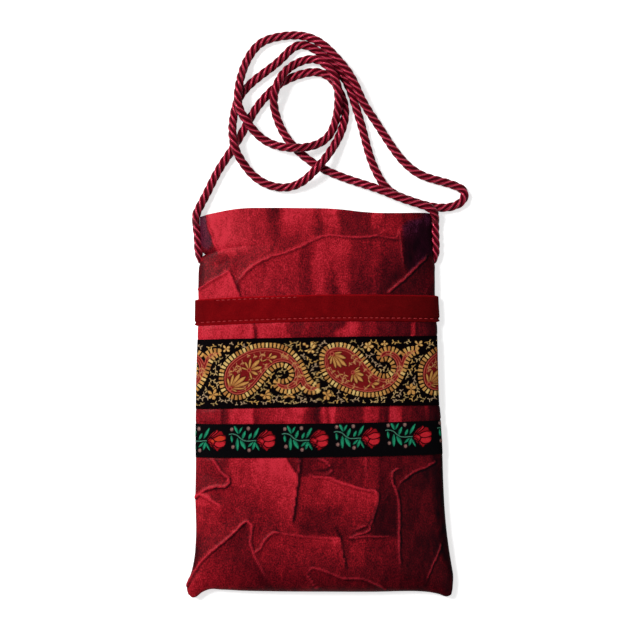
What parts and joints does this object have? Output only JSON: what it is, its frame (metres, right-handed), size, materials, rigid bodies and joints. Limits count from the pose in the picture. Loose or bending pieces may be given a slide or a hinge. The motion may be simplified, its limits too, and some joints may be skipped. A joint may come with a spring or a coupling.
{
  "type": "shoulder bag",
  "caption": "Small flat fabric pouch with a lined pocket, a velvet band, woven ribbons and a long twisted cord strap.",
  "frame": {"origin": "bottom centre of the box round the bag itself, without its cord, as it lies on its back", "axes": "+X across the bag to the right as seen from the front, +Y up the bag to its mouth, +Z out of its front"},
  "size_m": [0.1694, 0.341, 0.0141],
  "materials": {
    "shell": "creased shot taffeta",
    "lining": "plain woven lining",
    "velvet": "velvet pile",
    "paisley_ribbon": "jacquard weave",
    "rose_ribbon": "jacquard weave",
    "cord": "twisted satin cord",
    "thread": "sewing thread"
  },
  "bodies": {
    "root": {"front_panel": "shell", "back_panel": "shell", "lining": "lining", "velvet_band": "velvet", "paisley_ribbon": "paisley_ribbon", "rose_ribbon": "rose_ribbon", "shoulder_cord": "cord", "cord_tack_left": "thread", "cord_tack_right": "thread"}
  },
  "joints": []
}
